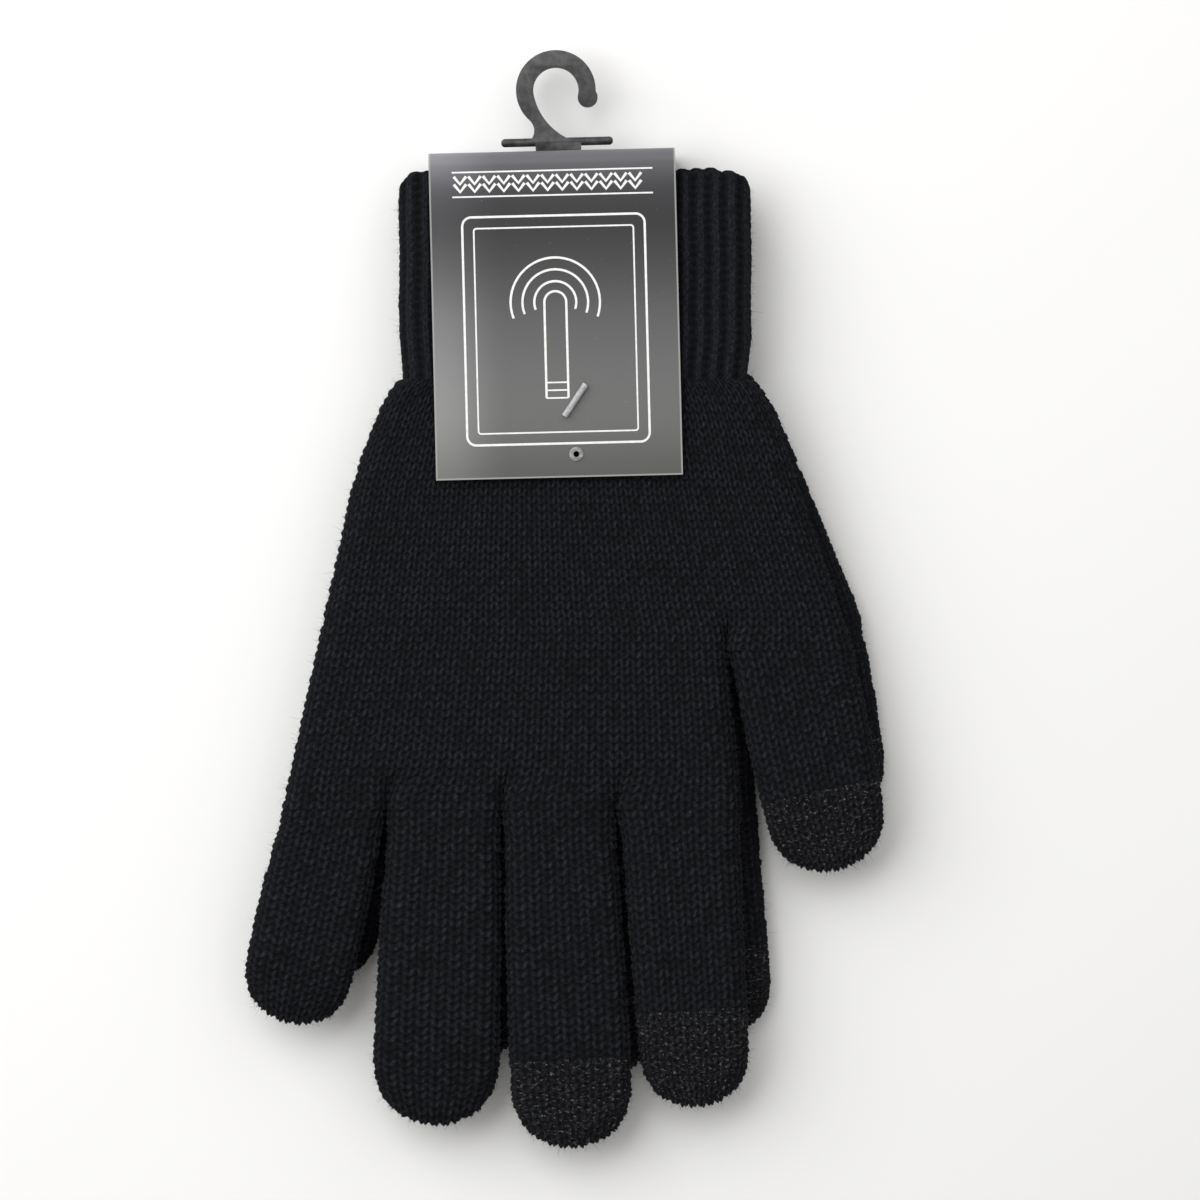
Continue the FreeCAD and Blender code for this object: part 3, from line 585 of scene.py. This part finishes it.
# makeFinger: the length between two courses; a length that reaches the tip is zipped shut, inside and out
def makeFinger(place, finger, name, first, last, shape, fuzz, seed):
    look = place["look"]
    rows = rowsBetween(first, last, look["courseVerts"])
    outer, wale, course, normals = fingerGrid(place, shape, rows, 0.0)
    level = 1 - np.abs(normals[..., 2])
    high = jersey(wale, course)
    nearTip = ease((course - shape["courses"] + 6) / 5)
    height = (high - 0.3) * knit["relief"] * (1 + knit["foldBoost"] * level)
    height = height + knit["scallop"] * (np.abs(np.sin(math.pi * wale)) - 0.4) * level * nearTip
    raised = outer + normals * height[..., None]
    closed = last == shape["courses"]
    innerRows = np.concatenate([np.linspace(first, last - 4, 6)[:-1], np.linspace(last - 4, last, 7)])
    inner = fingerGrid(place, shape, innerRows, knit["wall"])[0]
    spare = np.zeros(inner.shape)
    innerCourses = np.broadcast_to(innerRows[:, None], spare.shape[:2])
    innerWales = np.broadcast_to(wale[:1], spare.shape[:2])
    if closed:
        points = np.concatenate([inner[::-1], raised])
        wales = np.concatenate([innerWales, wale])
        courses = np.concatenate([innerCourses[::-1], course])
        facing = np.concatenate([spare, normals])
        rise = np.concatenate([spare[..., 0], high])
        creases = [len(inner)]
    else:
        points = np.concatenate([raised, inner[::-1]])
        wales = np.concatenate([wale, innerWales])
        courses = np.concatenate([course, innerCourses[::-1]])
        facing = np.concatenate([normals, spare])
        rise = np.concatenate([high, spare[..., 0]])
        creases = [0, len(raised) - 1]
    fuzz = fuzz * look["fuzz"]
    return knitShell(name, place, points, wales, courses, closed, fuzz, seed, facing, rise, creases)


# pit is the painted shade down between stitches, leg the shade along a stitch, partly the yarn's own and partly
# painted sheen; both vary with the heather
yarns = {
    "knit_yarn": {"pitPaintedShade": (0.0012, 0.0013, 0.0018), "leg": (0.0135, 0.0148, 0.0185), "fleck": None},
    "rib_yarn": {"pitPaintedShade": (0.0010, 0.0011, 0.0015), "leg": (0.0125, 0.0138, 0.0172), "fleck": None},
    "touch_yarn": {"pitPaintedShade": (0.0016, 0.0017, 0.0021), "leg": (0.0150, 0.0156, 0.0180),
                   "fleck": (0.15, 0.152, 0.16)},
}


def newMaterial(name):
    material = bpy.data.materials.new(name)
    material.use_nodes = True
    tree = material.node_tree
    return material, tree, tree.nodes["Principled BSDF"]


def addNode(tree, kind, **settings):
    node = tree.nodes.new(kind)
    for key, value in settings.items():
        if key in node.inputs:
            node.inputs[key].default_value = value
        else:
            setattr(node, key, value)
    return node


# yarnMaterial: yarn in flecked shades, with painted shade in the pits between stitches and painted sheen
# lightening the legs
def yarnMaterial(name):
    plan = yarns[name]
    material, tree, shader = newMaterial(name)
    link = tree.links.new
    place = addNode(tree, "ShaderNodeTexCoord")
    stretch = addNode(tree, "ShaderNodeMapping")
    stretch.inputs["Scale"].default_value = (2.0, 1.0, 1.0)
    link(place.outputs["UV"], stretch.inputs["Vector"])
    heather = addNode(tree, "ShaderNodeTexNoise", Scale=1.6, Detail=4.0, Roughness=0.75)
    link(stretch.outputs["Vector"], heather.inputs["Vector"])
    tone = addNode(tree, "ShaderNodeValToRGB")
    tone.color_ramp.elements[0].position = 0.34
    tone.color_ramp.elements[1].position = 0.70
    tone.color_ramp.elements[0].color = (*(0.35 * part for part in plan["leg"]), 1)
    tone.color_ramp.elements[1].color = (*(1.7 * part for part in plan["leg"]), 1)
    link(heather.outputs["Fac"], tone.inputs["Fac"])
    # the rise of each stitch mixes the painted shade in the pits with the lighter legs
    rise = addNode(tree, "ShaderNodeAttribute", attribute_name="rise")
    paintedShading = addNode(tree, "ShaderNodeMix", data_type="RGBA")
    link(rise.outputs["Fac"], paintedShading.inputs[0])
    paintedShading.inputs[6].default_value = (*plan["pitPaintedShade"], 1)
    # fluff: a fine noise that breaks the shade of each leg into lighter and darker hairs
    fluff = addNode(tree, "ShaderNodeTexNoise", Scale=1700.0, Detail=3.0, Roughness=0.8)
    link(place.outputs["Object"], fluff.inputs["Vector"])
    hairs = addNode(tree, "ShaderNodeMapRange")
    for key, value in (("From Min", 0.3), ("From Max", 0.7), ("To Min", 0.3), ("To Max", 1.75)):
        hairs.inputs[key].default_value = value
    link(fluff.outputs["Fac"], hairs.inputs["Value"])
    broken = addNode(tree, "ShaderNodeVectorMath", operation="SCALE")
    link(tone.outputs["Color"], broken.inputs[0])
    link(hairs.outputs["Result"], broken.inputs["Scale"])
    link(broken.outputs["Vector"], paintedShading.inputs[7])
    colour = paintedShading.outputs[2]
    nap = addNode(tree, "ShaderNodeTexNoise", Scale=3600.0, Detail=3.0, Roughness=0.7)
    link(place.outputs["Object"], nap.inputs["Vector"])
    strands = addNode(tree, "ShaderNodeTexWave", Scale=1.1, Distortion=3.0, Detail=1.0)
    strands.bands_direction = "DIAGONAL"
    link(place.outputs["UV"], strands.inputs["Vector"])
    bump = addNode(tree, "ShaderNodeBump", Strength=0.55, Distance=0.00012)
    link(nap.outputs["Fac"], bump.inputs["Height"])
    twist = addNode(tree, "ShaderNodeBump", Strength=0.4, Distance=0.0001)
    link(strands.outputs["Fac"], twist.inputs["Height"])
    link(bump.outputs["Normal"], twist.inputs["Normal"])
    link(twist.outputs["Normal"], shader.inputs["Normal"])
    shader.inputs["Roughness"].default_value = 0.88
    shader.inputs["Specular IOR Level"].default_value = 0.1
    shader.inputs["Sheen Weight"].default_value = 0.02
    shader.inputs["Sheen Roughness"].default_value = 0.45
    shader.inputs["Sheen Tint"].default_value = (0.75, 0.82, 1.0, 1)
    if plan["fleck"]:
        sparks = addNode(tree, "ShaderNodeTexNoise", Scale=2.7, Detail=3.0, Roughness=0.85)
        link(place.outputs["UV"], sparks.inputs["Vector"])
        mask = addNode(tree, "ShaderNodeValToRGB")
        mask.color_ramp.elements[0].position = 0.59
        mask.color_ramp.elements[1].position = 0.67
        link(sparks.outputs["Fac"], mask.inputs["Fac"])
        blend = addNode(tree, "ShaderNodeMix", data_type="RGBA")
        link(mask.outputs["Color"], blend.inputs[0])
        link(colour, blend.inputs[6])
        blend.inputs[7].default_value = (*plan["fleck"], 1)
        colour = blend.outputs[2]
    link(colour, shader.inputs["Base Color"])
    return material


fibreMaterial, _, fibreShader = newMaterial("loose_fibres")
fibreShader.inputs["Base Color"].default_value = (0.022, 0.023, 0.027, 1)
fibreShader.inputs["Roughness"].default_value = 0.6
materials = {name: yarnMaterial(name) for name in yarns}


# dress: the yarn, then the loose fibres, and the slot
def dress(piece, slot):
    piece.data.materials.append(materials[slot])
    piece.data.materials.append(fibreMaterial)


for side in ("lower", "upper"):
    place = sideOf(side)
    glove = f"{side}_glove"
    rib = makeCuff(place)
    dress(rib, "rib_yarn")
    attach(rib, glove)
    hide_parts(f"{side}_cuff")
    for piece in makeHand(place):
        dress(piece, "knit_yarn")
        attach(piece, glove)
        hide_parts(f"{side}_hand")
    for number, finger in enumerate(fingers):
        shape = fingerShape(place, finger)
        body = f"{side}_{finger}_part"
        node = f"{side}_thumb" if finger == "thumb" else f"{side}_{finger}_finger"
        seed = knit["seed"] + 30 + number
        piece = makeFinger(place, finger, f"{node}_knit", 0, shape["seam"], shape,
                           fibres["finger"], seed)
        dress(piece, "knit_yarn")
        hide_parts(node)
        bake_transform(piece)
        if shape["plan"]["touch"]:
            tip = makeFinger(
                place, finger, f"{side}_{finger}_tip_knit", shape["seam"], shape["courses"], shape,
                fibres["tip"], seed + 9,
            )
            dress(tip, "touch_yarn")
            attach(tip, body)
            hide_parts(f"{side}_{finger}_tip")
    print("glove made:", side)


# card, print, hook, pin and eyelet; the card's sizes are in millimetres from its own middle
card = {
    # shades down the card from the top: the light first stop is a painted highlight on the rounded fold
    "shades": [(0.0, 0.16), (0.12, 0.022), (0.3, 0.038), (0.5, 0.1), (0.8, 0.17), (1.0, 0.08)],
    "paintedSideReflection": 0.8,         # how much lighter the left side is, a painted reflection along it
    "paintedReflectionWide": 17.0,
    "rawEdge": 0.35,         # width of the bare board along the cut edges
    "printHigh": 0.05,
    "line": 0.5,
    "board": (0.34, 0.34, 0.33),
    "boardShare": 0.8,
    "specks": {"from": 0.74, "full": 0.78, "share": 0.4},
    "ink": ((0.74, 0.74, 0.73), (0.88, 0.88, 0.87), 0.5, 900.0),
}
band = {"half": 22.0, "rules": (32.9, 27.5), "from": -21.6, "to": 19.5, "step": 3.2, "tops": (32.0, 30.3),
        "wide": 2.7, "deep": 1.7}
tablet = {"middle": (0, -2.0), "outer": (40.0, 50.0), "outerRound": 2.0, "inner": (35.0, 45.0),
          "innerRound": 0.6}
tap = {"at": (0, 4.0), "rings": (4.6, 7.2, 9.8), "sweep": (-20, 200), "half": 2.4, "foot": -17.0,
       "rules": (-13.6, -15.3, -17.0)}


# ribbonOf: a line carried along a path: each point moved half the width to either side of the path's way,
# once at the card's face and once just above it
def ribbonOf(path, width, low, high, closed):
    path = np.asarray(path, float)
    if closed:
        way = np.roll(path, -1, 0) - np.roll(path, 1, 0)
    else:
        way = np.gradient(path, axis=0)
    way /= np.linalg.norm(way, axis=1, keepdims=True)
    aside = np.stack([-way[:, 1], way[:, 0]], 1) * width / 2
    count = len(path)
    corners = [(path + aside, high), (path - aside, high), (path - aside, low), (path + aside, low)]
    points = np.stack([np.column_stack([flat, np.full(count, z)]) for flat, z in corners], 1)
    index = np.arange(count * 4).reshape(count, 4)
    rows = np.vstack([index, index[:1]]) if closed else index
    ring = np.hstack([rows, rows[:, :1]])
    quads = np.stack([ring[:-1, :-1], ring[:-1, 1:], ring[1:, 1:], ring[1:, :-1]], -1).reshape(-1, 4)
    if not closed:
        quads = np.vstack([quads, index[0][::-1], index[-1]])
    return points.reshape(-1, 3), quads


# roundedBox: four quarter circles about the corners, in one closed path
def roundedBox(middle, size, radius):
    angle = np.linspace(0, quarterTurn, 9)
    turns = np.concatenate([angle + quarterTurn * corner for corner in range(4)])
    signs = np.array([(1, 1), (-1, 1), (-1, -1), (1, -1)]).repeat(9, 0)
    quarters = np.stack([np.cos(turns), np.sin(turns)], 1)
    return np.array(middle) + signs * (np.array(size) / 2 - radius) + radius * quarters


# cardLines: every printed line with its width and whether it closes on itself: a band of stitches between two
# rules, a plain tablet, and the usual sign for a tap, a fingertip under rings about the spot it touches
def cardLines():
    fine, line = card["line"] * 0.7, card["line"]
    lines = [([(-band["half"], level), (band["half"], level)], fine, False) for level in band["rules"]]
    for left in np.arange(band["from"], band["to"], band["step"]):
        for top in band["tops"]:
            stitch = [(left, top), (left + band["wide"] / 2, top - band["deep"]), (left + band["wide"], top)]
            lines.append((stitch, line * 1.3, False))
    lines.append((roundedBox(tablet["middle"], tablet["outer"], tablet["outerRound"]), line, True))
    lines.append((roundedBox(tablet["middle"], tablet["inner"], tablet["innerRound"]), fine, True))
    for radius in tap["rings"]:
        lines.append((np.array(tap["at"]) + arc(radius, *tap["sweep"]), line, False))
    half, foot = tap["half"], tap["foot"]
    tip = np.array(tap["at"]) + arc(half, 0, 180)
    lines.append((np.vstack([[(half, foot)], tip, [(-half, foot)]]), line, False))
    for level in tap["rules"]:
        lines.append(([(-half, level), (half, level)], fine, False))
    return lines


# arc: points at one radius from one angle to another, in degrees
def arc(radius, start, end):
    angle = np.radians(np.linspace(start, end, 33))
    return radius * np.stack([np.cos(angle), np.sin(angle)], 1)


# dressCard: coated board shaded down its length, painted light at its fold and left side, pale specks, bare cut
# edges
def dressCard():
    low, high = (np.array(corner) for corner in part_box("header_card"))
    material, tree, shader = newMaterial("coated_card")
    link = tree.links.new
    place = addNode(tree, "ShaderNodeTexCoord")
    axes = addNode(tree, "ShaderNodeSeparateXYZ")
    link(place.outputs["Object"], axes.inputs["Vector"])
    down = addNode(tree, "ShaderNodeMapRange")
    down.inputs["From Min"].default_value = high[1]
    down.inputs["From Max"].default_value = low[1]
    link(axes.outputs["Y"], down.inputs["Value"])
    # the ramp down the card, whose top stop paints a highlight on the fold
    shade = addNode(tree, "ShaderNodeValToRGB")
    ramp = shade.color_ramp
    ramp.interpolation = "B_SPLINE"
    for number, (spot, grey) in enumerate(card["shades"]):
        stop = ramp.elements[number] if number in (0, 1) else ramp.elements.new(spot)
        stop.position = spot
        tint = (1.0 - 0.05 * spot, 0.985 - 0.03 * spot, 1.08 - 0.16 * spot)          # cool above, warm below
        stop.color = (grey * tint[0], grey * tint[1], grey * tint[2], 1)
    link(down.outputs["Result"], shade.inputs["Fac"])
    # painted reflection: the card grows lighter towards its left edge
    aside = addNode(tree, "ShaderNodeMapRange", interpolation_type="SMOOTHSTEP")
    aside.inputs["From Min"].default_value = low[0] + card["paintedReflectionWide"] * mm
    aside.inputs["From Max"].default_value = low[0]
    aside.inputs["To Min"].default_value = 1.0
    aside.inputs["To Max"].default_value = 1 + card["paintedSideReflection"]
    link(axes.outputs["X"], aside.inputs["Value"])
    paintedReflection = addNode(tree, "ShaderNodeVectorMath", operation="SCALE")
    link(shade.outputs["Color"], paintedReflection.inputs[0])
    link(aside.outputs["Result"], paintedReflection.inputs["Scale"])
    # specks: the few highest spots of a fine noise
    grain = addNode(tree, "ShaderNodeTexNoise", Scale=1900.0, Detail=2.0)
    link(place.outputs["Object"], grain.inputs["Vector"])
    specks = addNode(tree, "ShaderNodeMapRange")
    specks.inputs["From Min"].default_value = card["specks"]["from"]
    specks.inputs["From Max"].default_value = card["specks"]["full"]
    specks.inputs["To Max"].default_value = card["specks"]["share"]
    link(grain.outputs["Fac"], specks.inputs["Value"])
    # bare board: outside the printed face on the left, right and lower sides
    away = addNode(tree, "ShaderNodeMath", operation="ABSOLUTE")
    centre = addNode(tree, "ShaderNodeMath", operation="SUBTRACT")
    centre.inputs[1].default_value = (low[0] + high[0]) / 2
    link(axes.outputs["X"], centre.inputs[0])
    link(centre.outputs[0], away.inputs[0])
    cut = addNode(tree, "ShaderNodeMath", operation="GREATER_THAN")
    cut.inputs[1].default_value = (high[0] - low[0]) / 2 - card["rawEdge"] * mm
    link(away.outputs[0], cut.inputs[0])
    foot = addNode(tree, "ShaderNodeMath", operation="LESS_THAN")
    foot.inputs[1].default_value = low[1] + card["rawEdge"] * mm
    link(axes.outputs["Y"], foot.inputs[0])
    bare = addNode(tree, "ShaderNodeMath", operation="MAXIMUM")
    link(cut.outputs[0], bare.inputs[0])
    link(foot.outputs[0], bare.inputs[1])
    pale = addNode(tree, "ShaderNodeMath", operation="MULTIPLY")
    pale.inputs[1].default_value = card["boardShare"]
    link(bare.outputs[0], pale.inputs[0])
    worn = addNode(tree, "ShaderNodeMath", operation="MAXIMUM")
    link(pale.outputs[0], worn.inputs[0])
    link(specks.outputs["Result"], worn.inputs[1])
    face = addNode(tree, "ShaderNodeMix", data_type="RGBA")
    link(worn.outputs[0], face.inputs[0])
    link(paintedReflection.outputs["Vector"], face.inputs[6])
    face.inputs[7].default_value = (*card["board"], 1)
    link(face.outputs[2], shader.inputs["Base Color"])
    ripple = addNode(tree, "ShaderNodeTexNoise", Scale=420.0, Detail=4.0)
    link(place.outputs["Object"], ripple.inputs["Vector"])
    bump = addNode(tree, "ShaderNodeBump", Strength=0.12, Distance=0.0001)
    link(ripple.outputs["Fac"], bump.inputs["Height"])
    link(bump.outputs["Normal"], shader.inputs["Normal"])
    shader.inputs["Roughness"].default_value = 0.42
    shader.inputs["Specular IOR Level"].default_value = 0.25
    coat(nodes["header_card"], material)


# coat: one material in every slot of a node
def coat(piece, material):
    for number in range(len(piece.material_slots)):
        piece.material_slots[number].material = material


# mottled: moulded plastic whose shade drifts between two greys over a coarse noise, with a fine pitted skin
def mottled(name, dark, light, roughness, scale, clear=0.0):
    material, tree, shader = newMaterial(name)
    link = tree.links.new
    place = addNode(tree, "ShaderNodeTexCoord")
    cloud = addNode(tree, "ShaderNodeTexNoise", Scale=scale, Detail=4.0, Roughness=0.65)
    link(place.outputs["Object"], cloud.inputs["Vector"])
    shade = addNode(tree, "ShaderNodeValToRGB")
    shade.color_ramp.elements[0].position = 0.36
    shade.color_ramp.elements[1].position = 0.66
    shade.color_ramp.elements[0].color = (*dark, 1)
    shade.color_ramp.elements[1].color = (*light, 1)
    link(cloud.outputs["Fac"], shade.inputs["Fac"])
    link(shade.outputs["Color"], shader.inputs["Base Color"])
    pits = addNode(tree, "ShaderNodeTexNoise", Scale=scale * 5, Detail=3.0)
    link(place.outputs["Object"], pits.inputs["Vector"])
    bump = addNode(tree, "ShaderNodeBump", Strength=0.3, Distance=0.00012)
    link(pits.outputs["Fac"], bump.inputs["Height"])
    link(bump.outputs["Normal"], shader.inputs["Normal"])
    shader.inputs["Roughness"].default_value = roughness
    shader.inputs["Transmission Weight"].default_value = clear
    return material


# softenedCopy: a CAD node's mesh with its doubles merged and its outer edges rounded over
def softenedCopy(node, name, width):
    mesh = nodes[node].data.copy()
    shell = bmesh.new()
    shell.from_mesh(mesh)
    bmesh.ops.remove_doubles(shell, verts=shell.verts, dist=0.00001)
    bmesh.ops.dissolve_limit(shell, angle_limit=math.radians(1), verts=shell.verts, edges=shell.edges)
    shell.to_mesh(mesh)
    shell.free()
    mesh.materials.clear()
    mesh.shade_smooth()
    piece = bpy.data.objects.new(name, mesh)
    scene.collection.objects.link(piece)
    rounded = piece.modifiers.new("rounded", "BEVEL")
    rounded.width = width * mm
    rounded.segments = 3
    rounded.limit_method = "ANGLE"
    rounded.angle_limit = math.radians(40)
    rounded.harden_normals = True
    return piece


# printCard: the printed lines as one thin piece on top of the card
def printCard():
    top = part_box("header_card")[1][2] / mm
    points, quads, shift = [], [], 0
    for number, (path, width, closed) in enumerate(cardLines()):
        high = top + card["printHigh"] + 0.001 * number          # a later line lies over an earlier one
        some, faces = ribbonOf(path, width, top - 0.02, high, closed)
        points.append(some)
        quads.append(faces + shift)
        shift += len(some)
    piece = meshFrom("card_print", np.concatenate(points) * mm, np.concatenate(quads))
    piece.data.shade_flat()
    piece.data.materials.append(mottled("white_ink", *card["ink"]))
    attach(piece, "card")


# dark and light shade, roughness, grain of the mottling, and how clear it is
plastics = {
    "black_moulding": ((0.010, 0.010, 0.011), (0.050, 0.051, 0.054), 0.42, 500.0),
    "clear_moulding": ((0.55, 0.56, 0.57), (0.85, 0.86, 0.87), 0.25, 900.0, 0.5),
    "grey_moulding": ((0.16, 0.16, 0.16), (0.34, 0.34, 0.34), 0.35, 900.0),
}
hookRounding = 0.3
dressCard()
printCard()
print("card dressed")
hook = softenedCopy("hanger_hook", "hanger_hook_moulding", hookRounding)
hook.data.materials.append(mottled("black_moulding", *plastics["black_moulding"]))
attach(hook, "hook")
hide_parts("hanger_hook")
coat(nodes["tag_pin"], mottled("clear_moulding", *plastics["clear_moulding"]))
coat(nodes["card_eyelet"], mottled("grey_moulding", *plastics["grey_moulding"]))
print("hook, pin and eyelet made")


# stage: pale floor, one large soft light from the upper left, weak fills, and a camera overhead
table = {"half": 3.0, "level": -0.0002}          # just under the card's back, so the two don't share a plane
signs = ((-1, -1), (1, -1), (1, 1), (-1, 1))
corners = [(table["half"] * x, table["half"] * y, table["level"]) for x, y in signs]
floorMesh = bpy.data.meshes.new("floor")
floorMesh.from_pydata(corners, [], [(0, 1, 2, 3)])
floor = bpy.data.objects.new("floor", floorMesh)
scene.collection.objects.link(floor)
floorMaterial, _, floorShader = newMaterial("pale_table")
floorShader.inputs["Base Color"].default_value = (0.86, 0.86, 0.855, 1)
floorShader.inputs["Roughness"].default_value = 0.6
floorMesh.materials.append(floorMaterial)

studio = {
    "key": {"at": (-0.55, 0.35, 0.72), "size": 1.1, "power": 11.0},
    "fill": {"at": (0.35, 0.5, 0.75), "size": 1.1, "power": 2.6},
}
aim = Vector((0.008, -0.06, 0.0))
for name, lamp in studio.items():
    data = bpy.data.lights.new(name, "AREA")
    data.size = lamp["size"]
    data.energy = lamp["power"]
    light = bpy.data.objects.new(name, data)
    light.location = lamp["at"]
    light.rotation_euler = (aim - light.location).to_track_quat("-Z", "Y").to_euler()
    scene.collection.objects.link(light)
world = bpy.data.worlds.new("studio")
world.use_nodes = True
world.node_tree.nodes["Background"].inputs["Color"].default_value = (1.0, 0.985, 0.965, 1)
world.node_tree.nodes["Background"].inputs["Strength"].default_value = 0.44
scene.world = world
scene.view_settings.view_transform = "Standard"

view = {"over": (0.0082, -0.0615), "above": 1.2, "top": 0.0140, "across": 0.264, "turn": -1.4}
camera = bpy.data.cameras.new("overhead")
camera.sensor_width = 36
camera.lens = 36 * view["above"] / view["across"]
overhead = bpy.data.objects.new("overhead", camera)
overhead.location = (*view["over"], view["top"] + view["above"])
overhead.rotation_euler = (0, 0, math.radians(view["turn"]))
scene.collection.objects.link(overhead)
scene.camera = overhead
print("stage set")
